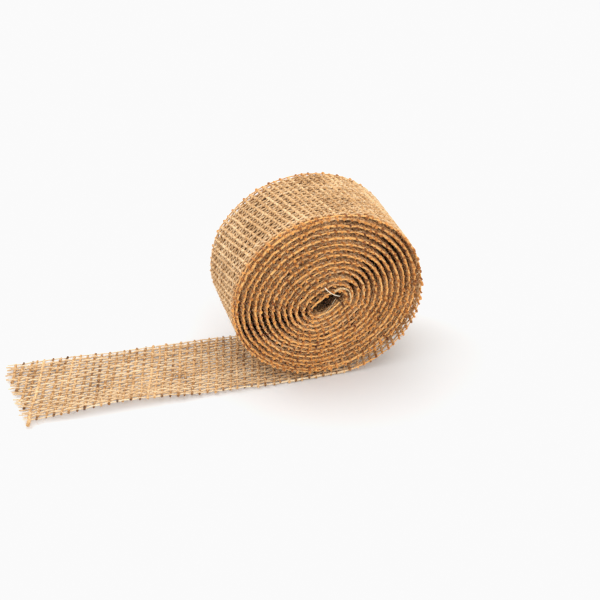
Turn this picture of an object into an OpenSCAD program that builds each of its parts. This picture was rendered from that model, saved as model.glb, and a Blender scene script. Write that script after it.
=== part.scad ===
// Roll of open-weave jute ribbon, wound on itself without a core, with the outer end laid out flat.
// The roll's axis runs along Y, its near face looks along -Y, and the loose tail lies towards -X.
// The origin is on the resting surface, under the roll. Warp yarns run along the ribbon and form
// its outer side. Weft yarns cross them at right angles and lie just inside them.

/* [Ribbon] */
// Width of the ribbon over the weft ends
ribbon_w = 40; // [25:1:63]
// How far each weft end stands past the edge warp
weft_stub = 1.0; // [0.4:0.1:2]
// Diameter of a weft yarn
weft_d = 1.0; // [0.6:0.05:1.3]
// Distance between neighbouring wefts along the ribbon
weft_pitch = 3.0; // [2:0.1:4]
// Width of a pressed-flat warp yarn
warp_w = 0.9; // [0.5:0.05:1]
// Thickness of a pressed-flat warp yarn
warp_t = 0.5; // [0.3:0.05:0.8]
// Gap between the warps and the wefts
yarn_gap = 0.06; // [0.05:0.01:0.2]

/* [Roll] */
// Number of full turns
turns = 14; // [6:1:14]
// Clear space between neighbouring turns
turn_gap = 0.76; // [0.4:0.02:2]
// Length of the open eye in the middle
eye_l = 13; // [9:0.5:20]
// Width of the open eye
eye_w = 4.7; // [3:0.1:8]
// Slope of the eye, near face seen from the front
eye_tilt = 31; // [20:1:38]
// How far the eye lies below the middle of the roll
eye_drop = 1.8; // [0:0.1:3]
// How much flatter the roll's top is than its sides, as a difference of radii
roll_sag = 6.4; // [0:0.2:8]
// How much wider the loosened outer turn bulges at the lower right, in radius
outer_slack = 2.0; // [0:0.1:3]
// Clear space between the flat foot and the turn that stands on it
foot_gap = 0.35; // [0.2:0.05:1]

/* [Tail] */
// Wefts in each hinged length of the tail
wefts_per_length = 6; // [4:1:8]
// Clear slot between two hinged lengths
hinge_gap = 0.4; // [0.3:0.05:0.8]
// Distance from the roll's lowest point to the first hinge
foot_l = 12; // [8:0.5:16]
// Sideways run of the tail for each unit of its length
tail_skew = 0.05; // [0:0.01:0.1]
// Longest frayed warp end past the last weft
fringe_l = 5.5; // [2:0.1:8]
// Extra length of the last weft at the near edge
loose_weft_l = 3; // [0:0.5:6]

/* [Hidden] */
$fn = 120;
warp_count = 23;
tail_lengths = 6;
joint_inset = 0.02;     // one arc let into the next
joint_overlap = 0.3;
warp_color = "#DDB383";
weft_color = "#C4884A";

// Two digits for a node's number
function pad(i) = str(i < 10 ? "0" : "", i);

// Through the ribbon, from the outside of the warps to the inside of the wefts
ribbon_t = warp_t + yarn_gap + weft_d;
turn_pitch = ribbon_t + turn_gap;
// Depth of a weft's axis below the outside of the warps
weft_depth = warp_t + yarn_gap + weft_d / 2;
warp_pitch = (ribbon_w - 2 * weft_stub - warp_w) / (warp_count - 1);
length_l = wefts_per_length * weft_pitch;

// A turn is six arcs that meet in line. Each arc keeps its start and end direction in every turn.
arcs_per_turn = 6;
eye_end_half = 65;      // half of the angle that a round end of the eye turns through
side_up = 40;           // direction where a side arc gives way to the arc over the top
arc_from = [
    eye_tilt - eye_end_half, side_up, eye_tilt + eye_end_half,
    180 + eye_tilt - eye_end_half, 180 + side_up, 180 + eye_tilt + eye_end_half
];
on_eye_side = [0, 0, 1, 0, 0, 1];       // arcs along the eye's long sides
on_top_or_foot = [-1, 1, 1, -1, 1, 1];  // wider arcs above and below, tighter ones at the sides
on_left_side = [-1, 0, 0, 1, 0, 0];     // makes the turns a little wider apart above the eye

// Innermost turn, over its outside
eye_half_l = eye_l / 2 + ribbon_t;
eye_half_w = eye_w / 2 + ribbon_t;
eye_spread = (eye_half_l - eye_half_w) / (cos(eye_end_half) + sin(eye_end_half) - 1);
eye_end_r = eye_half_l - eye_spread * cos(eye_end_half);
// Share of the eye's spread that the other arcs take up as the turns grow round
spread_share = 0.3;
// Share of the sag that is taken off every arc, so that the roll keeps its girth
sag_trim = 0.08;
drop_r = eye_drop / turns / (sin(side_up) - sin(arc_from[0]));

function unit(a) = [cos(a), sin(a)];
// Arcs are counted from the eye outwards, and run clockwise from the lower right
function sector(k) = (arcs_per_turn - 1) - k % arcs_per_turn;
function arc_start(k) = arc_from[sector(k)];
function arc_end(k) = sector(k) < arcs_per_turn - 1 ? arc_from[sector(k) + 1] : arc_from[0] + 360;
function spread_at(f) = eye_spread * (1 - f);
function arc_r(k) =
    let (turn = (k + 0.5) / arcs_per_turn, f = turn / turns, s = sector(k))
    eye_end_r + turn_pitch * turn
    + on_eye_side[s] * spread_at(f) + spread_share * (eye_spread - spread_at(f))
    + roll_sag * f * (on_top_or_foot[s] / 2 - sag_trim)
    + drop_r * on_left_side[s];

arc_total = turns * arcs_per_turn;
// Point of each arc that lies nearer the eye, with the eye's own start at [0, 0]
raw_points = [
    for (k = 0, p = [0, 0]; k <= arc_total;
         p = p + arc_r(k) * (unit(arc_start(k)) - unit(arc_end(k))), k = k + 1) p
];
function raw_centre(k) = raw_points[k] - arc_r(k) * unit(arc_end(k));
// The lowest turn stands on the flat foot, straight above the origin
lowest_k = arc_total - arcs_per_turn + 1;
lowest_raw = raw_centre(lowest_k) + arc_r(lowest_k) * unit(270);
shift = [-lowest_raw[0], ribbon_t + foot_gap - lowest_raw[1]];

// The last side arc is slackened, and one more arc brings it down to the surface
slack_k = arc_total - 1;
slack_r = arc_r(slack_k) + outer_slack;
slack_from = raw_points[slack_k] + shift;
slack_centre = slack_from - slack_r * unit(arc_end(slack_k));
landing_start = slack_centre + slack_r * unit(arc_start(slack_k));
landing_r = landing_start[1] / (1 + sin(arc_start(slack_k)));
landing_centre = [landing_start[0] - landing_r * cos(arc_start(slack_k)), landing_r];

// The whole roll from the surface inwards: [centre, radius, first angle, last angle]
roll_arcs = concat(
    [[landing_centre, landing_r, -90, arc_start(slack_k)]],
    [[slack_centre, slack_r, arc_start(slack_k), arc_end(slack_k)]],
    [for (k = [slack_k - 1:-1:0]) [raw_centre(k) + shift, arc_r(k), arc_start(k), arc_end(k)]]
);
foot_end = landing_centre[0];
foot_run = foot_l + foot_end;
function arc_len(a) = a[1] * (a[3] - a[2]) * PI / 180;
// Distance along the ribbon from the first hinge to the start of each arc
arc_dist = [
    for (i = 0, s = foot_run; i <= len(roll_arcs);
         s = s + (i < len(roll_arcs) ? arc_len(roll_arcs[i]) : 0), i = i + 1) s
];
// The landing arc and the slack arc both belong to the outermost turn
function turn_of(i) = 1 + floor(max(0, i - 1) / arcs_per_turn);
// Number of the first weft whose axis lies past a distance
function first_weft(s) = ceil(s / weft_pitch - 0.5);

function warp_y(i) = (i - (warp_count + 1) / 2) * warp_pitch;
function hinge_x(j) = -foot_l - (j - 1) * length_l;
function skew_y(x) = tail_skew * max(0, -foot_l - x);
// Frayed ends are longest at the far edge and uneven
function fringe_of(i) = fringe_l * (0.3 + 0.7 * i / warp_count) * (0.86 + 0.14 * cos(137 * i));

// Turns a drawing made with X right and Y up into the roll's own plane
module upright() {
    rotate([90, 0, 0]) children();
}

// Flat yarn along one arc of the roll. Every second arc is let into its neighbours: it is thinner
// by an inset all round, and longer by an overlap at both ends.
module warp_arc(a, y, let_in) {
    inset = let_in ? joint_inset : 0;
    overlap = let_in ? joint_overlap / a[1] * 180 / PI : 0;
    translate([a[0][0], y, a[0][1]])
        upright()
            rotate([0, 0, a[2] - overlap])
                rotate_extrude(angle = a[3] - a[2] + 2 * overlap)
                    translate([a[1] - warp_t + inset, inset - warp_w / 2])
                        square([warp_t - 2 * inset, warp_w - 2 * inset]);
}

// One yarn across the ribbon, with its axis at x and z
module weft_at(x, z, y, extra = 0) {
    translate([x, y - ribbon_w / 2 - extra, z])
        rotate([-90, 0, 0])
            cylinder(d = weft_d, h = ribbon_w + extra);
}

// One warp from the first hinge, under the roll and round to the eye
module roll_warp(i) {
    color(warp_color)
        union() {
            translate([-foot_l + hinge_gap / 2, warp_y(i) - warp_w / 2, 0])
                cube([foot_run - hinge_gap / 2, warp_w, warp_t]);
            for (k = [0:len(roll_arcs) - 1]) warp_arc(roll_arcs[k], warp_y(i), k % 2 == 0);
        }
}

// Wefts of one turn, counted from the outside
module turn_wefts(t) {
    color(weft_color) {
        if (t == 1)
            for (n = [0:first_weft(foot_run) - 1])
                weft_at(-foot_l + (n + 0.5) * weft_pitch, weft_depth, 0);
        for (i = [0:len(roll_arcs) - 1])
            if (turn_of(i) == t)
                for (n = [first_weft(arc_dist[i]):first_weft(arc_dist[i + 1]) - 1])
                    weft_on_arc(roll_arcs[i], (n + 0.5) * weft_pitch - arc_dist[i]);
    }
}

// Weft at a distance along one arc
module weft_on_arc(a, s) {
    angle = a[2] + s / a[1] * 180 / PI;
    p = a[0] + (a[1] - weft_depth) * unit(angle);
    weft_at(p[0], p[1], 0);
}

// Flat yarn along one hinged length, which leans sideways with the tail
module tail_warp(j, i) {
    near = hinge_x(j) - hinge_gap / 2;
    far = j < tail_lengths ? hinge_x(j + 1) + hinge_gap / 2 : hinge_x(j + 1) + weft_pitch / 2 - fringe_of(i);
    y = warp_y(i);
    linear_extrude(height = warp_t)
        polygon([
            [near, y + skew_y(near) - warp_w / 2], [near, y + skew_y(near) + warp_w / 2],
            [far, y + skew_y(far) + warp_w / 2], [far, y + skew_y(far) - warp_w / 2]
        ]);
}

module tail_edge_warps(j) {
    color(warp_color)
        for (i = [1, warp_count]) tail_warp(j, i);
}

module tail_inner_warps(j) {
    color(warp_color)
        for (i = [2:warp_count - 1]) tail_warp(j, i);
}

module tail_wefts(j) {
    color(weft_color)
        for (n = [0:wefts_per_length - 1]) {
            x = hinge_x(j) - (n + 0.5) * weft_pitch;
            last = j == tail_lengths && n == wefts_per_length - 1;
            weft_at(x, weft_depth, skew_y(x), last ? loose_weft_l : 0);
        }
}

for (i = [1:warp_count])
    roll_warp(i);
for (t = [1:turns])
    turn_wefts(t);
for (j = [1:tail_lengths]) {
    tail_edge_warps(j);
    tail_inner_warps(j);
    tail_wefts(j);
}
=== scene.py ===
import logging
import math
from dataclasses import dataclass, field
from enum import Enum
from functools import cached_property, partial

import bpy
import numpy as np
from mathutils import Matrix, Vector


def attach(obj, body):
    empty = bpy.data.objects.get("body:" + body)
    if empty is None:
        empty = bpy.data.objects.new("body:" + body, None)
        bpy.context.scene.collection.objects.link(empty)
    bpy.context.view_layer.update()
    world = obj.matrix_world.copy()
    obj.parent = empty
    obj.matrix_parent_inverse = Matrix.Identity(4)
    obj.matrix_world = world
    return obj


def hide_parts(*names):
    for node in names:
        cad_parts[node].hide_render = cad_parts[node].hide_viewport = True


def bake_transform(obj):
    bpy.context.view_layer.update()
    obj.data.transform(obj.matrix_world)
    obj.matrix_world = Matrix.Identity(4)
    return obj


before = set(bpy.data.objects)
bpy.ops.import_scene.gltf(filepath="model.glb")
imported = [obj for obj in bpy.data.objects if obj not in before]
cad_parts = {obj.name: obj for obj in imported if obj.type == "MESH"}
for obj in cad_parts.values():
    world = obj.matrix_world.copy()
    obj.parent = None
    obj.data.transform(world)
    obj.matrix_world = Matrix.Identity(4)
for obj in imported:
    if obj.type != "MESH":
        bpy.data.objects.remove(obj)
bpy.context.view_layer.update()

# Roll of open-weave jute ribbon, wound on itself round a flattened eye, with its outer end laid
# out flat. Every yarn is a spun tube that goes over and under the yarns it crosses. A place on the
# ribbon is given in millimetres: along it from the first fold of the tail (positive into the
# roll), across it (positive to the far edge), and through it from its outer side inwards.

MM = 0.001
STRIP_MAP = "OFBake"  # on this map each yarn is a strip, so that its colours can be drawn
NOISE_VALUES = 4096  # values in a table of noise, which then repeats
NOISE_START = 1000  # values before place 0, for places below it
log = logging.getLogger("ribbon")
Array = np.ndarray
Values = Array | float
Line = tuple[Array, Array, Array]  # places along, across and through


class Yarn(Enum):
    """What a strand is. The number is stored on its points."""

    WARP = 0
    WEFT = 1
    FIBRE = 2


def linear(hex_colour: str) -> tuple[float, float, float, float]:
    """Turns an sRGB colour into linear light.

    Args:
        hex_colour: The colour as "#RRGGBB".

    Returns:
        Red, green, blue and an alpha of 1.
    """
    parts = [int(hex_colour[i:i + 2], 16) / 255 for i in (1, 3, 5)]
    return (*[p / 12.92 if p <= 0.04045 else ((p + 0.055) / 1.055) ** 2.4 for p in parts], 1.0)


def add_node(tree: bpy.types.NodeTree, kind: str, settings: dict | str | None = None,
             **links: object) -> bpy.types.Node:
    """Adds a node with its settings, values and links.

    Args:
        tree: The tree that gets the node.
        kind: The node's type name.
        settings: Properties of the node itself, or just its operation.
        links: What goes into each input, which is named with _ for a space or by "i" and its
            number: a plain value, an output socket, or a node for its first output.

    Returns:
        The new node.
    """
    node = tree.nodes.new(kind)
    if isinstance(settings, str):
        settings = {"operation": settings}
    for name, value in (settings or {}).items():
        setattr(node, name, value)
    for name, value in links.items():
        if name[0] == "i" and name[1:].isdigit():
            socket = node.inputs[int(name[1:])]
        else:
            title = name.replace("_", " ")
            socket = next(s for s in node.inputs if s.enabled and s.name == title)
        if isinstance(value, bpy.types.Node):
            value = value.outputs[0]
        if isinstance(value, bpy.types.NodeSocket):
            tree.links.new(value, socket)
        else:
            socket.default_value = value
    return node


def smoothstep(t: Values) -> Array:
    """Eases from 0 to 1 as t goes from 0 to 1."""
    t = np.clip(t, 0.0, 1.0)
    return t * t * (3 - 2 * t)


def wander(seed: int, at: Values, step: float) -> Array:
    """Smooth noise between -1 and 1.

    Args:
        seed: Which noise.
        at: Where to read it.
        step: Distance between its turning points.

    Returns:
        One value for each place.
    """
    table = np.random.default_rng(seed).uniform(-1, 1, NOISE_VALUES)
    t = np.asarray(at, float) / step + NOISE_START
    cell = np.floor(t).astype(int)
    f = smoothstep(t - cell)
    return table[cell % NOISE_VALUES] * (1 - f) + table[(cell + 1) % NOISE_VALUES] * f


class Noise(Enum):
    """What varies, each with its seed, its strength and the distance between its turning points.

    Strengths of places are in millimetres. Others are shares of a thickness, or steps of tone.
    """

    CLOTH_ACROSS = (11, 0.55, 31)
    CLOTH_ACROSS_FINE = (12, 0.2, 9)
    CLOTH_THROUGH = (13, 0.16, 10)
    EDGES_THROUGH = (14, 1, 8)
    TAIL_RIPPLE = (15, 1, 13)
    WEFT_GAP = (21, 0.42, 1)
    WARP_INNER_END = (31, 0.9, 1)
    WARP_CUT_END = (32, 0.9, 1)
    FRAY_ACROSS = (33, 0.7, 1)
    FRAY_UP = (34, 0.5, 1)
    WARP_TONE = (35, 0.07, 1)
    EDGE_WARP_WIDTH = (36, 0.22, 60)
    NEAR_STUB = (41, 0.45, 1)
    FAR_STUB = (42, 0.2, 1)
    WEFT_CUT = (43, 1.2, 1)
    WEFT_WIDTH = (44, 0.14, 1)
    WEFT_TONE = (45, 0.12, 1)
    TIP_WIDTH = (46, 0.16, 1)
    TIP_TONE = (47, 0.16, 1)
    WARP_ACROSS = (100, 0.30, 13)
    WARP_ACROSS_FINE = (200, 0.16, 4.2)
    WARP_THROUGH = (300, 1, 3)
    WARP_SLUBS = (400, 0.17, 5)
    WARP_SLUBS_FINE = (500, 0.10, 1.7)
    WARP_STREAKS = (600, 0.12, 19)
    FIBRE_OUT = (700, 0.5, 1.5)
    FIBRE_SLUBS = (710, 0.25, 0.6)
    WEFT_ALONG = (1000, 1, 11)
    WEFT_ALONG_FINE = (3000, 0.12, 3.5)
    WEFT_SLUBS = (5000, 0.16, 6)
    WEFT_SLUBS_FINE = (7000, 0.10, 1.9)
    WEFT_STREAKS = (9000, 0.12, 9)

    def at(self, place: Values, yarn: int = 0) -> Array:
        """The noise at places, of its own for each yarn number."""
        seed, strength, step = self.value
        return strength * wander(seed + yarn, place, step)

    def of(self, yarn: int) -> float:
        """One value for a whole yarn."""
        return float(self.at(yarn))


@dataclass(frozen=True)
class Winding:
    """The path of the ribbon's outer side: flat along the surface, then six arcs for each turn.

    Sizes are in millimetres and directions in degrees, and both follow the solids of the frame.
    """

    turns: int = 14
    ribbon_t: float = 1.56
    turn_gap: float = 0.76
    eye_l: float = 13.0
    eye_w: float = 4.7
    eye_tilt: float = 31.0
    eye_drop: float = 1.8
    eye_end_half: float = 65.0
    side_up: float = 40.0
    roll_sag: float = 6.4
    sag_trim: float = 0.08
    spread_share: float = 0.3
    outer_slack: float = 2.0
    foot_gap: float = 0.35
    foot_l: float = 12.0
    tail_skew: float = 0.05

    @cached_property
    def arcs(self) -> Array:
        """One row for each arc from the surface inwards: centre x and z, radius, start and end
        direction, and the distance along the ribbon at its start."""
        tilt, half, up = self.eye_tilt, self.eye_end_half, self.side_up
        starts = [tilt - half, up, tilt + half, 180 + tilt - half, 180 + up, 180 + tilt + half]
        ends = starts[1:] + [starts[0] + 360]
        eye_side = [0, 0, 1, 0, 0, 1]
        wide = [-1, 1, 1, -1, 1, 1]
        left = [-1, 0, 0, 1, 0, 0]
        half_l, half_w = self.eye_l / 2 + self.ribbon_t, self.eye_w / 2 + self.ribbon_t
        cos_h, sin_h = math.cos(math.radians(half)), math.sin(math.radians(half))
        spread = (half_l - half_w) / (cos_h + sin_h - 1)
        drop = self.eye_drop / self.turns / (math.sin(math.radians(up))
                                             - math.sin(math.radians(starts[0])))

        def unit(a: float) -> Array:
            """The unit vector at a direction."""
            return np.array([math.cos(math.radians(a)), math.sin(math.radians(a))])

        total = self.turns * 6
        radii, points = [], [np.zeros(2)]
        for k in range(total):
            s, turn = 5 - k % 6, (k + 0.5) / 6
            f = turn / self.turns
            radii.append(half_l - spread * cos_h + (self.ribbon_t + self.turn_gap) * turn
                         + eye_side[s] * spread * (1 - f) + self.spread_share * spread * f
                         + self.roll_sag * f * (wide[s] / 2 - self.sag_trim) + drop * left[s])
            points.append(points[-1] + radii[k] * (unit(starts[s]) - unit(ends[s])))
        centres = [points[k] - radii[k] * unit(ends[5 - k % 6]) for k in range(total)]
        lowest = centres[total - 5] + radii[total - 5] * unit(270)
        shift = np.array([-lowest[0], self.ribbon_t + self.foot_gap - lowest[1]])
        slack_r = radii[-1] + self.outer_slack
        slack_c = points[total - 1] + shift - slack_r * unit(ends[0])
        landing = slack_c + slack_r * unit(starts[0])
        landing_r = landing[1] / (1 + math.sin(math.radians(starts[0])))
        foot_end = landing[0] - landing_r * unit(starts[0])[0]
        rows = [[foot_end, landing_r, landing_r, -90, starts[0]],
                [*slack_c, slack_r, starts[0], ends[0]]]
        rows += [[*(centres[k] + shift), radii[k], starts[5 - k % 6], ends[5 - k % 6]]
                 for k in range(total - 2, -1, -1)]
        table = np.array(rows)
        lengths = table[:, 2] * np.radians(table[:, 4] - table[:, 3])
        begun = self.foot_l + foot_end + np.concatenate([[0], np.cumsum(lengths)[:-1]])
        return np.column_stack([table, begun])

    @cached_property
    def foot_run(self) -> float:
        """Distance from the first fold to the end of the flat foot."""
        return float(self.arcs[0, 5])

    @cached_property
    def length(self) -> float:
        """Distance from the first fold to the inner end."""
        last = self.arcs[-1]
        return float(last[5] + last[2] * math.radians(last[4] - last[3]))

    def turn_start(self, turn: int) -> float:
        """Where a turn begins, with turn 1 outermost and a whole foot before it."""
        if turn > self.turns:
            return self.length
        return self.foot_run if turn == 1 else float(self.arcs[1 + 6 * (turn - 1), 5])

    def place(self, q: Array, v: Array, h: Array) -> Array:
        """Finds where places on the ribbon lie.

        Args:
            q: Distances along the ribbon.
            v: Distances across it.
            h: Distances through it.

        Returns:
            One point for each place, in millimetres.
        """
        q, v, h = np.broadcast_arrays(np.asarray(q, float), v, h)
        arc = self.arcs[np.clip(np.searchsorted(self.arcs[:, 5], q, side="right") - 1, 0, None)]
        angle = np.radians(arc[..., 3]) + (q - arc[..., 5]) / arc[..., 2]
        radius = arc[..., 2] - h
        flat = q < self.foot_run
        x = np.where(flat, q - self.foot_l, arc[..., 0] + radius * np.cos(angle))
        z = np.where(flat, h, arc[..., 1] + radius * np.sin(angle))
        return np.stack([x, v + self.tail_skew * np.maximum(0, -q), z], -1)


@dataclass(frozen=True)
class Weave:
    """The plain weave of the ribbon, in millimetres: its yarns, and how they lie and wander."""

    winding: Winding
    width: float = 40.0
    warp_count: int = 23
    edge_run: float = 18.55  # from the middle to the edge warp
    weft_pitch: float = 3.0
    warp_r: float = 0.39
    weft_r: float = 0.57
    mid: float = 0.86
    warp_lift: float = 0.24
    weft_lift: float = 0.30
    edge_lift: float = 0.4  # lift of an edge warp, as a share of the others
    warp_sway: float = 0.05  # how far a warp wanders up and down
    edge_sway: float = 0.09  # how much more the near edge warp does
    stub: float = 0.45
    foot_stub: float = 0.1  # at the near edge, where the ribbon runs under the roll
    loose_stub: float = 2.8  # the last whole weft stands out at the near edge
    edge_share: float = 0.64  # thickness of an edge warp, as a share of the others
    foot_edge: float = 0.5  # added to that share at the near edge under the roll
    inner_edge: float = 0.36  # added to that share on the turns inside the outermost
    lean_rise: float = 0.24  # how far a weft runs along for each step across
    loose_lean: float = 0.05  # added to that near the free end
    weft_wave: float = 0.34  # how far a weft wanders along the ribbon
    loose_wave: float = 0.3  # added to that near the free end
    spread: float = 0.065  # share by which the free end is wider
    hug: float = 0.75  # how far the outer turn sits in on the next, over the top
    crowd: float = 0.6  # how far the last turns crowd into the eye
    crowd_from: int = 12  # the first turn that does
    edge_through: float = 0.13  # how far the edges wander through
    curl_h: float = 2.6  # the tail's near edge curls up this far
    curl_at: float = -72.0  # where it does
    curl_l: float = 30.0
    ripple: float = 0.28  # the tail's edges ripple this far
    last_whole_weft: int = -34
    first_weft: int = -39
    free_end: tuple = (-107.8, -111.2, -111.6)  # near edge, middle and far edge

    @cached_property
    def warp_pitch(self) -> float:
        """Distance between neighbouring warps."""
        return 2 * self.edge_run / (self.warp_count - 1)

    @cached_property
    def last_weft(self) -> int:
        """Number of the weft nearest the inner end."""
        return int(self.winding.length / self.weft_pitch - 0.5)

    def lean(self, q: Values) -> Array:
        """How far a weft runs along the ribbon for each step across it."""
        return self.lean_rise + self.loose_lean * smoothstep((-q - 70) / 40)

    def under_roll(self, q: Values) -> Array:
        """1 where the ribbon lies pressed under the roll, and 0 elsewhere."""
        return smoothstep((q + 10) / 10) * smoothstep((self.winding.foot_run + 22 - q) / 10)

    def end_at(self, v: Values) -> Array:
        """Where the cut end lies at a distance across."""
        return np.interp(v, [-20, 0, 20], self.free_end)

    def shift(self, q: Array, v: Array) -> tuple[Array, Array]:
        """How the whole cloth wanders.

        Args:
            q: Distances along.
            v: Distances across.

        Returns:
            What to add across the ribbon, and what to add through it.
        """
        rolled = smoothstep((q - self.winding.foot_run - 10) / 40)
        laid = smoothstep((-q - 4) / 20)
        sideways = rolled * (Noise.CLOTH_ACROSS.at(q) + Noise.CLOTH_ACROSS_FINE.at(q))
        sideways = sideways + self.spread * v * smoothstep((-q - 60) / 35)
        edge = v / (self.width / 2)
        through = rolled * (Noise.CLOTH_THROUGH.at(q)
                            + self.edge_through * (edge * Noise.EDGES_THROUGH.at(q)))
        second, crowded = self.winding.turn_start(2), self.winding.turn_start(self.crowd_from)
        through = through + self.hug * (smoothstep((q - self.winding.foot_run - 100) / 20)
                                        * smoothstep((second + 10 - q) / 20))
        through = through + self.crowd * smoothstep(
            (q - crowded) / (self.winding.length - crowded))
        curl = (self.curl_h * smoothstep((-v - 5) / 15)
                * np.exp(-((q - self.curl_at) / self.curl_l) ** 2))
        ripple = (self.ripple * (1 + Noise.TAIL_RIPPLE.at(q + 0.8 * v))
                  * smoothstep((np.abs(v) - 4) / 16))
        return sideways, through + laid * (curl + ripple)

    def warp(self, i: int, q: Array) -> Line:
        """The line of one warp.

        Args:
            i: Its number from 0 at the near edge.
            q: Distances along.

        Returns:
            Places along, across and through.
        """
        at = (i - (self.warp_count - 1) / 2) * self.warp_pitch
        v = at + Noise.WARP_ACROSS.at(q, i) + Noise.WARP_ACROSS_FINE.at(q, i)
        crossing = (q - self.lean(q) * v) / self.weft_pitch - 0.5
        sideways, through = self.shift(q, v)
        lift = self.warp_lift * (self.edge_lift if i in (0, self.warp_count - 1) else 1)
        h = self.mid + lift * np.cos(math.pi * (crossing + i)) + through
        sway = (self.warp_sway + self.edge_sway * (i == 0)) * Noise.WARP_THROUGH.at(q, i)
        return q, v + sideways, h + sway

    def weft(self, n: int, v: Array) -> Line:
        """The line of one weft.

        Args:
            n: Its number, counted along the ribbon.
            v: Distances across.

        Returns:
            Places along, across and through.
        """
        middle = (n + 0.5) * self.weft_pitch + Noise.WEFT_GAP.of(n)
        loose = float(smoothstep((-middle - 80) / 25))
        q = (middle + self.lean(middle) * v
             + (self.weft_wave + self.loose_wave * loose) * Noise.WEFT_ALONG.at(v, n)
             + Noise.WEFT_ALONG_FINE.at(v, n))
        i = (v + self.edge_run) / self.warp_pitch
        fade = smoothstep(self.edge_run + 1.2 - np.abs(v))  # past the edge warp it lies straight
        sideways, through = self.shift(q, v)
        h = self.mid - self.weft_lift * np.cos(math.pi * (i + n)) * fade + through
        return q, v + sideways, h


@dataclass
class Strands:
    """Yarn lines that become one piece, with what their points carry."""

    points: list = field(default_factory=list)
    values: dict = field(default_factory=lambda: {
        k: [] for k in ("thick", "along", "tone", "kind", "fuzz", "line", "rim")})
    edges: list = field(default_factory=list)
    spans: list = field(default_factory=list)
    size: int = 0

    def add(self, place_mm: Array, radius_mm: Values, tone: Values,
            kind: Yarn, fuzz: Values = 0.0, rim: Values = 0.0) -> None:
        """Adds one strand.

        Args:
            place_mm: Its points in millimetres.
            radius_mm: Its radius at each point.
            tone: 0 for a dark strand to 1 for a pale one.
            kind: What it is.
            fuzz: Share of the full number of loose fibres on it.
            rim: 1 on the roll's end faces, painted a deeper gold: own colour and painted bounce
                light.
        """
        n = len(place_mm)
        steps = np.linalg.norm(np.diff(place_mm, axis=0), axis=1)
        along = np.concatenate([[0], np.cumsum(steps)])
        self.points.append(place_mm * MM)
        given = {"thick": np.asarray(radius_mm) * MM, "along": along, "tone": tone,
                 "kind": kind.value, "fuzz": fuzz, "line": len(self.spans), "rim": rim}
        for name, value in given.items():
            self.values[name].append(np.broadcast_to(value, n).astype(np.float32))
        first = self.size + np.arange(n - 1)
        self.edges.append(np.column_stack([first, first + 1]))
        self.spans.append(along[-1])
        self.size += n

    def mesh(self, name: str) -> bpy.types.Mesh:
        """Turns the lines into a mesh of edges.

        Args:
            name: The mesh's name.

        Returns:
            The mesh, whose points carry the values.
        """
        mesh = bpy.data.meshes.new(name)
        edges = np.concatenate(self.edges)
        mesh.vertices.add(self.size)
        mesh.vertices.foreach_set("co", np.concatenate(self.points).astype(np.float32).ravel())
        mesh.edges.add(len(edges))
        mesh.edges.foreach_set("vertices", edges.astype(np.int32).ravel())
        for key, parts in self.values.items():
            layer = mesh.attributes.new(key, "FLOAT", "POINT")
            layer.data.foreach_set("value", np.concatenate(parts))
        mesh.update()
        return mesh


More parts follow.
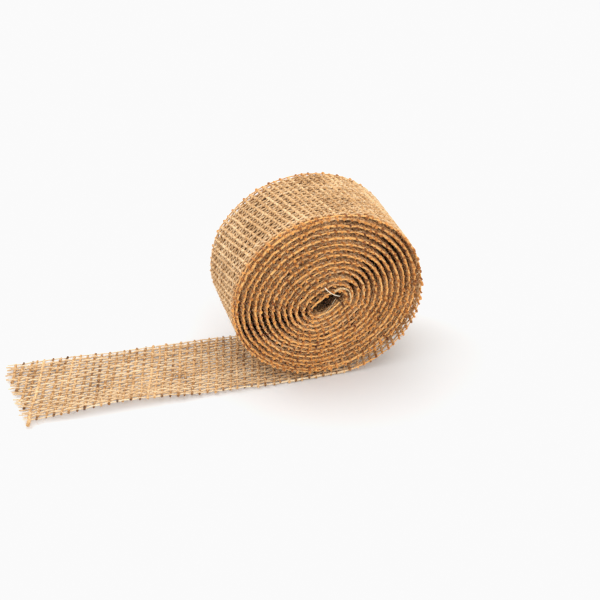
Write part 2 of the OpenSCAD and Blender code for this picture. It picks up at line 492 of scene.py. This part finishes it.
@dataclass(frozen=True)
class JuteFinish:
    """Spun jute yarn: long stiff bast fibres in a loose twist, matt, with slubs and paler spots.

    Lengths are in millimetres.
    """

    name: str
    dark: str
    middle: str
    light: str
    painted_shade: str = "#3C2510"  # painted shade, deep between the turns and in the eye
    twist_mm: float = 2.6  # one full turn of the twist
    streak_mm: float = 1.1  # length of a fibre's streak
    patch_mm: float = 7.0  # length of a paler or darker stretch
    streak_share: float = 2.1  # how much each changes the tone
    patch_share: float = 0.4
    strand_share: float = 0.07
    tones: tuple = (0.0, 0.14, 0.5, 0.92)  # of painted shade, dark, middle and light
    roughness: float = 0.74
    rough_share: float = 0.16  # how much rougher the streaks are
    relief_mm: float = 0.06
    relief_strength: float = 0.55
    rim_tint: str = "#FFDDA6"  # end faces a deeper gold: partly the weft ends' own orange, partly painted bounce light
    sheen: float = 0.25  # fibre ends that stand up on the yarn catch the light
    sheen_roughness: float = 0.5
    specular: float = 0.25

    def material(self) -> bpy.types.Material:
        """The finish as a material."""
        mat = bpy.data.materials.new(self.name)
        mat.use_nodes = True
        mat.node_tree.nodes.clear()
        node = partial(add_node, mat.node_tree)
        along, around, tone, line, rim = (
            node("ShaderNodeAttribute", {"attribute_name": name}).outputs["Fac"]
            for name in ("along", "around", "tone", "line", "rim"))
        # Fibres lie along a helix, so streaks are read in a space that turns with the twist.
        turn = node("ShaderNodeMath", "MULTIPLY_ADD", i0=along, i1=2 * math.pi / self.twist_mm,
                    i2=node("ShaderNodeMath", "MULTIPLY", i0=around, i1=2 * math.pi))
        cosine, sine = (node("ShaderNodeMath", wave, i0=turn) for wave in ("COSINE", "SINE"))
        # A real fibre is about 0.05 mm thick, so its streaks are drawn some five times as wide.
        reach, apart = 1.6, 3.7  # radius of the helix, and how far apart two yarns are read
        fibre_space = node(
            "ShaderNodeCombineXYZ",
            X=node("ShaderNodeMath", "MULTIPLY_ADD", i0=cosine, i1=reach,
                   i2=node("ShaderNodeMath", "MULTIPLY", i0=line, i1=apart)),
            Y=node("ShaderNodeMath", "MULTIPLY", i0=sine, i1=reach),
            Z=node("ShaderNodeMath", "MULTIPLY", i0=along, i1=1 / self.streak_mm))
        streak = node("ShaderNodeTexNoise", Vector=fibre_space, Scale=1.0, Detail=2.0,
                      Roughness=0.6).outputs["Fac"]
        patch = node("ShaderNodeTexNoise", Vector=node("ShaderNodeTexCoord").outputs["Object"],
                     Scale=1 / (self.patch_mm * MM), Detail=2.0, Roughness=0.5).outputs["Fac"]
        # Two plies are twisted together, so the strand swells twice in a turn.
        strand = node("ShaderNodeMath", "SINE",
                      i0=node("ShaderNodeMath", "MULTIPLY", i0=turn, i1=2.0))
        shade = tone
        for noise, share in ((streak, self.streak_share), (patch, self.patch_share)):
            centred = node("ShaderNodeMath", "SUBTRACT", i0=noise, i1=0.5)
            shade = node("ShaderNodeMath", "MULTIPLY_ADD", i0=centred, i1=share, i2=shade)
        shade = node("ShaderNodeMath", "MULTIPLY_ADD", i0=strand, i1=self.strand_share, i2=shade)
        ramp = node("ShaderNodeValToRGB", Fac=shade)
        stops = ramp.color_ramp.elements
        # The darkest stop is painted shade, for the gaps between the turns and the eye.
        stops[0].color, stops[1].color = linear(self.painted_shade), linear(self.light)
        stops[0].position, stops[1].position = self.tones[0], self.tones[3]
        stops.new(self.tones[1]).color = linear(self.dark)
        stops.new(self.tones[2]).color = linear(self.middle)
        # The rim tint is partly the cut weft ends' own orange and partly painted warm bounce light
        # in the shaded gaps.
        colour = node("ShaderNodeMix", {"data_type": "RGBA", "blend_type": "MULTIPLY"}, i0=rim,
                      i6=ramp, i7=linear(self.rim_tint)).outputs[2]
        height = node("ShaderNodeMath", "MULTIPLY_ADD", i0=strand, i1=0.25, i2=streak)
        bump = node("ShaderNodeBump", Strength=self.relief_strength,
                    Distance=self.relief_mm * MM, Height=height)
        rough = node("ShaderNodeMath", "MULTIPLY_ADD", i0=streak, i1=self.rough_share,
                     i2=self.roughness)
        shader = node("ShaderNodeBsdfPrincipled", Base_Color=colour, Roughness=rough, Normal=bump,
                      Sheen_Weight=self.sheen, Sheen_Roughness=self.sheen_roughness,
                      Specular_IOR_Level=self.specular)
        node("ShaderNodeOutputMaterial", Surface=shader)
        return mat


class Finishes:
    """The three finishes of the ribbon."""

    def __init__(self) -> None:
        """Makes the materials."""
        # Thin warp yarns look pale straw, because they are combed and lie uppermost.
        self.warp = JuteFinish("jute_yarn_pale", dark="#A8743A", middle="#DFB683",
                               light="#FAE3BE").material()
        # Thicker weft yarns are less combed, and look golden brown with dark flecks.
        self.weft = JuteFinish("jute_yarn_golden", dark="#7C470F", middle="#D39F60",
                               light="#F6D3A2", twist_mm=3.2, relief_mm=0.09).material()
        # Single fibres that stand off the yarns are nearly straw white.
        self.fibre = JuteFinish("jute_fibre", dark="#C79C66", middle="#E6C898",
                                light="#F8EBD2").material()


class YarnTree:
    """Geometry Nodes that spin lines into yarns and set loose fibres on them."""

    INPUTS = (("Sides", "Int", 6), ("Fibres per m2", "Float", 90000.0),
              ("Fibre length", "Float", 0.0021), ("Fibre radius", "Float", 0.00004),
              ("Seed", "Int", 1), ("Warp finish", "Material", None),
              ("Weft finish", "Material", None), ("Fibre finish", "Material", None))
    FIBRE_BEND = ((0, 0, 0), (0.05, 0, 0.62), (0.62, 0.1, 0.72))  # in lengths of the fibre
    FIBRE_TAPER = 0.7  # share of its thickness that it loses
    FIBRE_TILT = (1.25, 1.25, math.pi)  # how far it may be turned about each axis
    FIBRE_SIZES = (0.3, 1.25)  # smallest and largest, as shares of the length
    LEAST_HEIGHT = 0.03 * MM  # over the tabletop

    def __init__(self, finishes: Finishes) -> None:
        """Builds the tree.

        Args:
            finishes: The materials that the yarns wear.
        """
        self.finishes = finishes
        self.tree = bpy.data.node_groups.new("spun_yarns", "GeometryNodeTree")
        self.sockets: dict[str, str] = {}
        face = self.tree.interface
        for way in ("INPUT", "OUTPUT"):
            face.new_socket(name="Geometry", in_out=way, socket_type="NodeSocketGeometry")
        for name, kind, default in self.INPUTS:
            socket = face.new_socket(name=name, in_out="INPUT", socket_type="NodeSocket" + kind)
            if default is not None:
                socket.default_value = default
            self.sockets[name] = socket.identifier
        self._build()

    def _tube(self, curve: object, sides: object, radius: object) -> bpy.types.Node:
        """A closed tube along a curve, whose points know how far round it they are.

        Args:
            curve: What gives the curve.
            sides: Number of sides.
            radius: Radius at each point of the curve.

        Returns:
            The node that gives the tube.
        """
        node = partial(add_node, self.tree)
        ring = node("GeometryNodeCurvePrimitiveCircle", {"mode": "RADIUS"}, Resolution=sides,
                    Radius=1.0)
        ring = node("GeometryNodeStoreNamedAttribute", Geometry=ring, Name="around",
                    Value=node("GeometryNodeSplineParameter").outputs["Factor"])
        return node("GeometryNodeCurveToMesh", Curve=curve, Profile_Curve=ring, Scale=radius,
                    Fill_Caps=True)

    def _fibre(self, given: bpy.types.Node) -> bpy.types.Node:
        """One loose fibre: a bent, tapering hair as long as the input says.

        Args:
            given: The tree's inputs.

        Returns:
            The node that gives the fibre.
        """
        node = partial(add_node, self.tree)
        length = given.outputs["Fibre length"]
        start, middle, end = self.FIBRE_BEND
        bent = node("GeometryNodeCurveQuadraticBezier", Resolution=3, Start=start, Middle=middle,
                    End=end)
        factor = node("GeometryNodeSplineParameter").outputs["Factor"]
        bent = node("GeometryNodeStoreNamedAttribute", Geometry=bent, Name="along", Value=factor)
        share = node("ShaderNodeMath", "DIVIDE", i0=given.outputs["Fibre radius"], i1=length)
        taper = node("ShaderNodeMath", "MULTIPLY_ADD", i0=factor, i1=-self.FIBRE_TAPER, i2=1.0)
        hair = self._tube(bent, 3, node("ShaderNodeMath", "MULTIPLY", i0=taper, i1=share))
        size = node("ShaderNodeCombineXYZ", X=length, Y=length, Z=length)
        return node("GeometryNodeTransform", Geometry=hair, Scale=size)

    def _build(self) -> None:
        """Links the nodes."""
        node = partial(add_node, self.tree)
        given = node("NodeGroupInput")
        seed = given.outputs["Seed"]
        thick, fuzz, kind = (node("GeometryNodeInputNamedAttribute", Name=name)
                             for name in ("thick", "fuzz", "kind"))
        curve = node("GeometryNodeMeshToCurve", Mesh=given)
        yarns = node("GeometryNodeSetShadeSmooth",
                     Geometry=self._tube(curve, given.outputs["Sides"], thick))
        density = node("ShaderNodeMath", "MULTIPLY", i0=fuzz, i1=given.outputs["Fibres per m2"])
        spots = node("GeometryNodeDistributePointsOnFaces", {"distribute_method": "RANDOM"},
                     Mesh=yarns, Density=density, Seed=seed)
        points = spots
        for name in ("along", "around"):
            points = node("GeometryNodeRemoveAttribute", Geometry=points, Name=name)
        points = node("GeometryNodeStoreNamedAttribute", Geometry=points, Name="line",
                      Value=node("GeometryNodeInputIndex"))
        tilt = node("FunctionNodeRandomValue", {"data_type": "FLOAT_VECTOR"},
                    i0=tuple(-t for t in self.FIBRE_TILT), i1=self.FIBRE_TILT, Seed=seed)
        aim = node("FunctionNodeRotateRotation", {"rotation_space": "LOCAL"},
                   Rotation=spots.outputs["Rotation"],
                   Rotate_By=node("FunctionNodeEulerToRotation", Euler=tilt))
        size = node("FunctionNodeRandomValue", {"data_type": "FLOAT"}, i2=self.FIBRE_SIZES[0],
                    i3=self.FIBRE_SIZES[1], Seed=seed).outputs[1]
        hairs = node("GeometryNodeInstanceOnPoints", Points=points, Instance=self._fibre(given),
                     Rotation=aim, Scale=size)
        hairs = node("GeometryNodeStoreNamedAttribute", {"domain": "INSTANCE"}, Geometry=hairs,
                     Name="kind", Value=float(Yarn.FIBRE.value))
        both = node("GeometryNodeJoinGeometry")
        for part in (hairs, yarns):
            self.tree.links.new(part.outputs[0], both.inputs[0])
        result = node("GeometryNodeRealizeInstances", Geometry=both)
        result = node("GeometryNodeSetMaterial", Geometry=result,
                      Material=given.outputs["Warp finish"])
        for yarn, finish in ((Yarn.WEFT, "Weft finish"), (Yarn.FIBRE, "Fibre finish")):
            chosen = node("FunctionNodeCompare", "GREATER_THAN", i0=kind, i1=yarn.value - 0.5)
            result = node("GeometryNodeSetMaterial", Geometry=result, Selection=chosen,
                          Material=given.outputs[finish])
        node("NodeGroupOutput", Geometry=result)

    def spin(self, name: str, strands: Strands, seed: int) -> bpy.types.Object:
        """Makes a piece from its strands.

        Args:
            name: The piece's name.
            strands: Its yarn lines.
            seed: What sets its loose fibres.

        Returns:
            The piece, as a plain mesh.
        """
        piece = bpy.data.objects.new(name, strands.mesh(name + "_lines"))
        bpy.context.scene.collection.objects.link(piece)
        modifier = piece.modifiers.new("spin", "NODES")
        modifier.node_group = self.tree
        values = {"Seed": seed, "Warp finish": self.finishes.warp,
                  "Weft finish": self.finishes.weft, "Fibre finish": self.finishes.fibre}
        for key, value in values.items():
            modifier[self.sockets[key]] = value
        graph = bpy.context.evaluated_depsgraph_get()
        mesh = bpy.data.meshes.new_from_object(piece.evaluated_get(graph), depsgraph=graph,
                                               preserve_all_data_layers=True)
        piece.modifiers.clear()
        piece.data = mesh
        # Loose fibres that would reach into the tabletop lie flat on it.
        places = np.empty(3 * len(mesh.vertices), np.float32)
        mesh.vertices.foreach_get("co", places)
        places[2::3] = np.maximum(places[2::3], self.LEAST_HEIGHT)
        mesh.vertices.foreach_set("co", places)
        mesh.name = name
        lay_out_strips(mesh, strands.spans)
        return piece


def lay_out_strips(mesh: bpy.types.Mesh, spans: list) -> None:
    """Gives a piece a map on which each yarn is a straight strip and each fibre a small square.

    Args:
        mesh: The piece's mesh.
        spans: The length of each yarn.
    """
    def carried(name: str) -> Array:
        """What each point carries under a name."""
        found = np.zeros(len(mesh.vertices), np.float32)
        mesh.attributes[name].data.foreach_get("value", found)
        return found

    fibre_band = 0.05  # share of the map for fibres
    gap = 1.0  # millimetres between two strips of a row
    row_l = max(spans) + 2 * gap
    rows, starts, used = [], [], row_l + gap
    for span in spans:
        if used + span + gap > row_l:
            rows.append((rows[-1] + 1) if rows else 0)
            used = 0.0
        else:
            rows.append(rows[-1])
        starts.append(used)
        used += span + gap
    vertex = np.empty(len(mesh.loops), np.int32)
    mesh.loops.foreach_get("vertex_index", vertex)
    count = np.empty(len(mesh.polygons), np.int32)
    mesh.polygons.foreach_get("loop_total", count)
    first = np.concatenate([[0], np.cumsum(count)[:-1]])
    face = np.repeat(np.arange(len(count)), count)
    line, along, around, kind = (carried(n)[vertex] for n in ("line", "along", "around", "kind"))
    # The last side of a tube runs on past 1, not back to 0, and an end cap is a small disc.
    widest = np.maximum.reduceat(around, first)[face]
    around = np.where(widest - around > 0.5, around + 1, around)
    reach = np.maximum.reduceat(along, first) - np.minimum.reduceat(along, first)
    cap = reach[face] < 1e-6
    turn = 2 * math.pi * around
    loose = kind > Yarn.FIBRE.value - 0.5
    number = line.astype(int)
    held = np.where(loose, 0, number).clip(0, len(spans) - 1)
    tall = (1 - fibre_band) / (rows[-1] + 1)
    u = (np.array(starts)[held] + gap / 2 + along) / row_l
    v = tall * (np.array(rows)[held] + 0.1 + 0.8 * around)
    u = np.where(cap, u + 0.25 * np.cos(turn) / row_l, u)
    v = np.where(cap, tall * (np.array(rows)[held] + 0.5 + 0.2 * np.sin(turn)), v)
    if loose.any():
        across = math.ceil(math.sqrt((number[loose].max() + 1) / fibre_band))
        cell = 1 / across
        u = np.where(loose, (number % across + 0.15 + 0.7 * np.minimum(around, 1)) * cell, u)
        v = np.where(loose, 1 - fibre_band + (number // across + 0.15 + 0.7 * along) * cell, v)
    layer = mesh.uv_layers.new(name=STRIP_MAP, do_init=False)
    layer.uv.foreach_set("vector", np.column_stack([u, v]).clip(0, 1).astype(np.float32).ravel())


@dataclass
class Ribbon:
    """The ribbon's cloth, cut into pieces: each turn and the frayed end follow one body, and the
    pieces across the folds follow none.
    """

    weave: Weave
    tree: YarnTree
    length_l: float = 18.0  # between two folds of the tail
    folds: int = 6
    fine: float = 0.75  # spacing of points on a warp
    coarse: float = 1.5  # the same where other turns hide it
    inner_end: float = 0.8  # the warps stop short of the last solid by this
    seeds: tuple = (50, 80, 90)  # of the loose fibres on turns, folds and the frayed end
    weft_step: float = 0.85  # spacing of points on a weft
    rim_steps: tuple = (0, 0.6, 1.2, 1.9, 2.7, 3.5, 4.4, 5.3, 6.2)  # from an end of a hidden weft
    rim_fuzz: float = 2.6  # the end faces are furrier than the cloth
    fray_l: float = 5.5  # how far the warps fray
    fray_rise: float = 0.35
    fray_slim: float = 0.35  # share of its thickness that a frayed warp loses
    warp_tone: float = 0.56  # 0 is dark and 1 is pale
    weft_tone: float = 0.50
    edge_tone: float = 0.22  # an edge warp is paler,
    inner_edge_tone: float = 0.10  # but less so inside the roll
    # painted light: on the tail the thin warps are painted paler, for floor light shining up
    # through them, and the thick wefts darker
    tail_warp_light: float = 0.05
    tail_weft_shade: float = 0.08
    barrel_warp_shade: float = -0.12  # painted light and shade: on the barrel the proud wefts are painted paler and the warps darker
    barrel_weft_light: float = 0.14
    turn_shade_tone: float = 0.32  # painted shade: little light gets in between the turns,
    eye_shade_tone: float = 0.34  # and less into the eye
    past_edge: float = 0.45  # from the edge warp's middle to where a weft's stub begins
    trial_points: int = 80  # along a weft, to see how much of it the cut leaves
    shortest_cut: int = 12  # of these, or else the weft falls out
    cut_margin: float = 2.4  # between the cut end and the nearest weft
    bold_swell: float = 0.5  # the last whole weft is thicker at the near edge,
    bold_tone: float = 0.1  # and paler
    tip_slim: float = 0.16  # a weft is thinner past the edge warps
    tip_tone: float = -0.03
    cut_tone: float = 0.08  # cut ends are darker,
    tail_cut_tone: float = 0.04  # most of all on the tail

    def strands(self, start: float, end: float, shown: bool) -> Strands:
        """Draws the yarns between two distances along the ribbon.

        Args:
            start: Where the piece begins.
            end: Where it ends.
            shown: Whether all its yarns show, or only those near its edges.

        Returns:
            The yarn lines.
        """
        weave, lines = self.weave, Strands()
        lowest, highest = weave.free_end[1] - 9, weave.winding.length - self.inner_end
        second = weave.winding.turn_start(2)
        for i in range(weave.warp_count):
            edge = min(i, weave.warp_count - 1 - i)
            step = self.fine if shown or edge < 3 else self.coarse
            first, last = start, min(end, highest - abs(Noise.WARP_INNER_END.of(i)))
            v = (i - (weave.warp_count - 1) / 2) * weave.warp_pitch
            if start < lowest:
                first = float(weave.end_at(v)) + Noise.WARP_CUT_END.of(i)
            q = np.linspace(first, last, max(3, int((last - first) / step) + 1))
            q, v, h = weave.warp(i, q)
            # Past the last weft the warps fray: they fan out and lift a little.
            frayed = smoothstep((weave.end_at(v) + self.fray_l - q) / self.fray_l)
            v = v + frayed * Noise.FRAY_ACROSS.of(i)
            h = h + frayed * (self.fray_rise + Noise.FRAY_UP.of(i))
            radius = weave.warp_r * (1 + Noise.WARP_SLUBS.at(q, i) + Noise.WARP_SLUBS_FINE.at(q, i))
            inner = smoothstep((q - second + 12) / 12)
            slim = (weave.edge_share + weave.foot_edge * weave.under_roll(q) * (i == 0)
                    + inner * (weave.inner_edge + Noise.EDGE_WARP_WIDTH.at(q)))
            radius = radius * (1 - self.fray_slim * frayed) * (slim if edge == 0 else 1)
            # On the tail the warps are painted paler, as painted light from the floor shining
            # through them.
            tone = (self.warp_tone + Noise.WARP_TONE.of(i) + Noise.WARP_STREAKS.at(q, i)
                    + (self.edge_tone - self.inner_edge_tone * inner) * (edge == 0)
                    + self.tail_warp_light * smoothstep(-q / 10))
            self._add(lines, q, v, np.maximum(h, radius), radius, tone, Yarn.WARP,
                      (1.0 if edge < 2 else 0.5) if shown else (0.5 if edge == 0 else 0.0))
        pitch = weave.weft_pitch
        low_n = max(math.ceil(start / pitch - 0.5), weave.first_weft)
        high_n = min(math.ceil(end / pitch - 0.5), weave.last_weft - 1)
        for n in range(low_n, high_n):
            self._weft(lines, n, shown)
        return lines

    def _add(self, lines: Strands, q: Array, v: Array, h: Array, radius: Array,
             tone: Array, kind: Yarn, fuzz: float) -> None:
        """Adds one strand at places on the ribbon.

        Args:
            lines: Where it is added.
            q: Distances along.
            v: Distances across.
            h: Distances through.
            radius: Its radius at each place.
            tone: Its own tone at each place, before painted light and shade.
            kind: What it is.
            fuzz: Least share of loose fibres on it.
        """
        winding = self.weave.winding
        second, last = winding.turn_start(2), winding.turn_start(winding.turns)
        out = np.abs(v)
        rolled = smoothstep((q - winding.foot_run) / 15)
        # Painted shade: the cloth is painted darker between the turns and in the eye, where little
        # light gets in.
        painted_shade = smoothstep((17 - out) / 4) * smoothstep((q - second + 8) / 8)
        eye_shade = smoothstep((18.2 - out) / 2) * smoothstep((q - last) / 12)
        # The end faces get the rim tint: partly own colour, partly painted bounce light.
        rim = rolled * smoothstep((out - 17.2) / 1.2)
        # Painted light and shade: on the roll's barrel the wefts are painted paler and the warps
        # darker.
        barrel_light = rolled * (1 - rim) * (self.barrel_weft_light if kind is Yarn.WEFT else self.barrel_warp_shade)
        tone = tone + barrel_light - self.turn_shade_tone * painted_shade - self.eye_shade_tone * eye_shade
        fuzz = np.maximum(fuzz, self.rim_fuzz * rim)
        lines.add(winding.place(q, v, h), radius, tone, kind, fuzz, rim)

    def _weft(self, lines: Strands, n: int, shown: bool) -> None:
        """Adds one weft, cut short where the free end cuts it.

        Args:
            lines: Where it is added.
            n: Its number, counted along the ribbon.
            shown: Whether all of it shows, or only its ends.
        """
        weave = self.weave
        under = float(weave.under_roll((n + 0.5) * weave.weft_pitch))
        out_near = (weave.stub + Noise.NEAR_STUB.of(n)) * (1 - under) + weave.foot_stub * under
        out_far = 0.3 * weave.stub + Noise.FAR_STUB.of(n)
        whole = weave.edge_run + self.past_edge
        near, far = -whole - out_near, whole + out_far
        bold = n == weave.last_whole_weft
        if bold:
            near = -whole - weave.loose_stub
        trial = np.linspace(near, far, self.trial_points)
        kept_from = weave.end_at(trial) + self.cut_margin + Noise.WEFT_CUT.of(n)
        inside = weave.weft(n, trial)[0] > kept_from
        if not bold and not inside.all():
            if inside.sum() < self.shortest_cut:
                return
            near = float(trial[inside].min())
        if shown:
            v = np.linspace(near, far, max(8, int((far - near) / self.weft_step)))
        else:
            rim = np.array(self.rim_steps)
            v = np.concatenate([near + rim, np.linspace(near + 8, far - 8, 8), (far - rim)[::-1]])
        q, v, h = weave.weft(n, v)
        radius = weave.weft_r * (1 + Noise.WEFT_SLUBS.at(v, n) + Noise.WEFT_SLUBS_FINE.at(v, n))
        radius = radius * (1 + Noise.WEFT_WIDTH.of(n))
        radius = radius * (1 + self.bold_swell * smoothstep((-v - 13) / 3) * bold)
        tip = smoothstep((np.abs(v) - weave.edge_run + 0.4) / 1.2)
        radius = radius * (1 - (self.tip_slim + Noise.TIP_WIDTH.of(n)) * tip)
        cut = smoothstep((np.maximum(near - v, v - far) + 0.45) / 0.35)
        laid = smoothstep(-q / 10)
        cut = cut * (self.cut_tone + self.tail_cut_tone * laid)
        # On the tail the wefts are painted darker, as painted shade beside the backlit warps.
        tone = (self.weft_tone + Noise.WEFT_TONE.of(n) + Noise.WEFT_STREAKS.at(v, n)
                + self.bold_tone * bold + (Noise.TIP_TONE.of(n) + self.tip_tone) * tip - cut
                - self.tail_weft_shade * laid * (not bold))
        self._add(lines, q, v, np.maximum(h, radius), radius, tone, Yarn.WEFT,
                  1.0 if shown else 0.2 * (n % 2))

    def declare(self, piece: bpy.types.Object, length_mm: float) -> None:
        """Logs how much ribbon a piece holds, and its number of faces.

        Args:
            piece: The piece.
            length_mm: How much of the ribbon it holds.
        """
        log.info("%s: %.1f mm of ribbon, %d faces", piece.name, length_mm, len(piece.data.polygons))

    def build_turns(self) -> None:
        """Makes the roll, a piece for each turn."""
        winding = self.weave.winding
        for turn in range(1, winding.turns + 1):
            start = self.length_l / 2 if turn == 1 else winding.turn_start(turn)
            end = winding.turn_start(turn + 1)
            piece = self.tree.spin(f"ribbon_turn_{turn:02d}", self.strands(start, end, turn <= 2),
                                   self.seeds[0] + turn)
            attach(piece, "roll")
            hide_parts(f"turn_wefts_{turn:02d}")
            if turn == 1:
                warps = range(1, self.weave.warp_count + 1)
                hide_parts(*[f"roll_warp_{i:02d}" for i in warps])
            self.declare(piece, end - start)

    def build_tail(self) -> None:
        """Makes the tail: a piece across each fold, and the frayed end."""
        half, winding = self.length_l / 2, self.weave.winding
        for fold in range(1, self.folds + 1):
            middle = -self.length_l * (fold - 1)
            strands = self.strands(middle - half, middle + half, True)
            piece = self.tree.spin(f"ribbon_fold_{fold}", strands, self.seeds[1] + fold)
            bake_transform(piece)
            kinds = ("edge_warps", "inner_warps", "wefts")
            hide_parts(*[f"tail_{kind}_{fold}" for kind in kinds])
            self.declare(piece, self.length_l)
        start = -self.length_l * (self.folds - 1) - half
        beyond = self.weave.free_end[1] - self.weave.width  # each strand ends where it is cut
        strands = self.strands(beyond, start, True)
        piece = self.tree.spin("ribbon_frayed_end", strands, self.seeds[2])
        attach(piece, f"tail_{self.folds}")
        self.declare(piece, start - self.weave.free_end[1])


@dataclass
class EyeFibres:
    """Pale strands at the ribbon's inner end, across the eye. Places are in millimetres."""

    tree: YarnTree
    out: float = -21.1  # across the ribbon, just off the near face
    fuzz: float = 0.6
    seed: int = 95
    paths: tuple = (  # thickness, tone, and knots along x and up
        (0.24, 0.95, ((-0.4, 44.0), (0.7, 42.4), (2.1, 41.0), (3.8, 39.8), (5.7, 38.9))),
        (0.42, 0.34, ((3.4, 42.0), (5.3, 42.6), (7.4, 42.2), (9.3, 40.9), (10.0, 38.4),
                      (9.8, 36.2))),
        (0.09, 0.60, ((4.1, 38.0), (2.6, 36.0), (0.9, 33.7), (-0.5, 31.8), (-2.4, 30.9),
                      (-4.5, 32.0))),
    )

    def build(self) -> None:
        """Makes the strands as one piece."""
        lines = Strands()
        for number, (radius, tone, path) in enumerate(self.paths):
            knots = np.array(path)
            t = np.linspace(0, len(knots) - 1, 8 * len(knots))
            x, z = (self._smooth(knots[:, k], t) for k in (0, 1))
            y = self.out + Noise.FIBRE_OUT.at(t, number)
            thick = radius * (1 + Noise.FIBRE_SLUBS.at(t, number)) * (1 - 0.5 * t / t[-1])
            lines.add(np.column_stack([x, y, z]), thick, tone, Yarn.FIBRE, self.fuzz)
        piece = self.tree.spin("eye_fibres", lines, self.seed)
        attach(piece, "roll")
        log.info("%s: %d faces", piece.name, len(piece.data.polygons))

    @staticmethod
    def _smooth(knots: Array, t: Array) -> Array:
        """Reads a smooth line through knots.

        Args:
            knots: Its value at each knot.
            t: Where to read it, with one step for each knot.

        Returns:
            Its value at each place.
        """
        k = np.clip(t.astype(int), 0, len(knots) - 2)
        f = t - k
        ends = np.concatenate([[2 * knots[0] - knots[1]], knots, [2 * knots[-1] - knots[-2]]])
        a, b, c, d = (ends[k + n] for n in range(4))
        return 0.5 * (2 * b + (c - a) * f + (2 * a - 5 * b + 4 * c - d) * f ** 2
                      + (3 * b - 3 * c + d - a) * f ** 3)


@dataclass(frozen=True)
class Studio:
    """A pale tabletop under soft light, and the camera. Places are in metres."""

    camera_at: tuple = (-0.11935, -0.39209, 0.28280)
    camera_axes: tuple = ((0.9584, 0.1566, -0.2385), (-0.2852, 0.5076, -0.8130),
                          (-0.0063, 0.8472, 0.5312))
    lens_mm: float = 71.06
    sensor_mm: float = 36.0
    clip: tuple = (0.01, 20.0)
    floor_size: float = 12.0
    sky: float = 0.62
    white_level: float = 0.958  # what full white is held at
    aim: tuple = (0, 0, 0.03)
    softboxes: tuple = (  # name, place, side and watts
        ("overhead_softbox", (-0.1, 0.15, 1.0), 1.6, 10.5),
        ("key_softbox", (-0.9, 0.5, 0.7), 0.9, 4.0),
        ("front_softbox", (0.45, -1.05, 0.5), 1.2, 8.8))

    def build(self) -> None:
        """Makes the camera, the lights and the floor."""
        scene = bpy.context.scene
        camera = bpy.data.objects.new("camera", bpy.data.cameras.new("camera"))
        scene.collection.objects.link(camera)
        camera.data.lens, camera.data.sensor_width = self.lens_mm, self.sensor_mm
        camera.data.clip_start, camera.data.clip_end = self.clip
        turned = Matrix(self.camera_axes).to_4x4()
        camera.matrix_world = Matrix.Translation(self.camera_at) @ turned
        scene.camera = camera
        scene.view_settings.view_transform = "Standard"
        # The tabletop is lit past white, and a curve holds white just under full.
        scene.view_settings.use_curve_mapping = True
        curves = scene.view_settings.curve_mapping
        curves.extend = "HORIZONTAL"
        whole = curves.curves[3]  # the first three are for one colour each
        whole.points[1].location = (1.0, self.white_level)
        curves.update()
        for softbox in self.softboxes:
            self._lamp(*softbox)
        world = bpy.data.worlds.new("studio")
        world.use_nodes = True
        background = world.node_tree.nodes["Background"]
        background.inputs["Color"].default_value = linear("#FFFFFF")
        background.inputs["Strength"].default_value = self.sky
        scene.world = world
        self._floor()
        log.info("studio")

    def _lamp(self, name: str, at: tuple, size: float, watts: float) -> None:
        """Adds a square soft white light that faces the roll.

        Args:
            name: Its name.
            at: Its place.
            size: Length of its side.
            watts: Its power.
        """
        light = bpy.data.lights.new(name, "AREA")
        light.size, light.energy = size, watts
        lamp = bpy.data.objects.new(name, light)
        bpy.context.scene.collection.objects.link(lamp)
        away = Vector(at) - Vector(self.aim)
        turned = away.to_track_quat("Z", "Y").to_matrix().to_4x4()
        lamp.matrix_world = Matrix.Translation(at) @ turned

    def _floor(self) -> None:
        """Adds the tabletop."""
        half = self.floor_size / 2
        mesh = bpy.data.meshes.new("tabletop")
        corners = [(-half, -half, 0), (half, -half, 0), (half, half, 0), (-half, half, 0)]
        mesh.from_pydata(corners, [], [(0, 1, 2, 3)])
        floor = bpy.data.objects.new("tabletop", mesh)
        bpy.context.scene.collection.objects.link(floor)
        mat = bpy.data.materials.new("matt_white_board")
        mat.use_nodes = True
        shader = mat.node_tree.nodes["Principled BSDF"]
        shader.inputs["Base Color"].default_value = linear("#E6E6E6")
        shader.inputs["Roughness"].default_value = 0.9
        shader.inputs["Specular IOR Level"].default_value = 0.0
        mesh.materials.append(mat)


def main() -> None:
    """Builds the studio and the ribbon."""
    logging.basicConfig(level=logging.INFO, format="%(name)s: %(message)s")
    Studio().build()
    winding = Winding()
    log.info("%.0f mm from the first fold to the inner end", winding.length)
    tree = YarnTree(Finishes())
    ribbon = Ribbon(Weave(winding), tree)
    ribbon.build_turns()
    ribbon.build_tail()
    EyeFibres(tree).build()


if __name__ == "__main__":
    main()
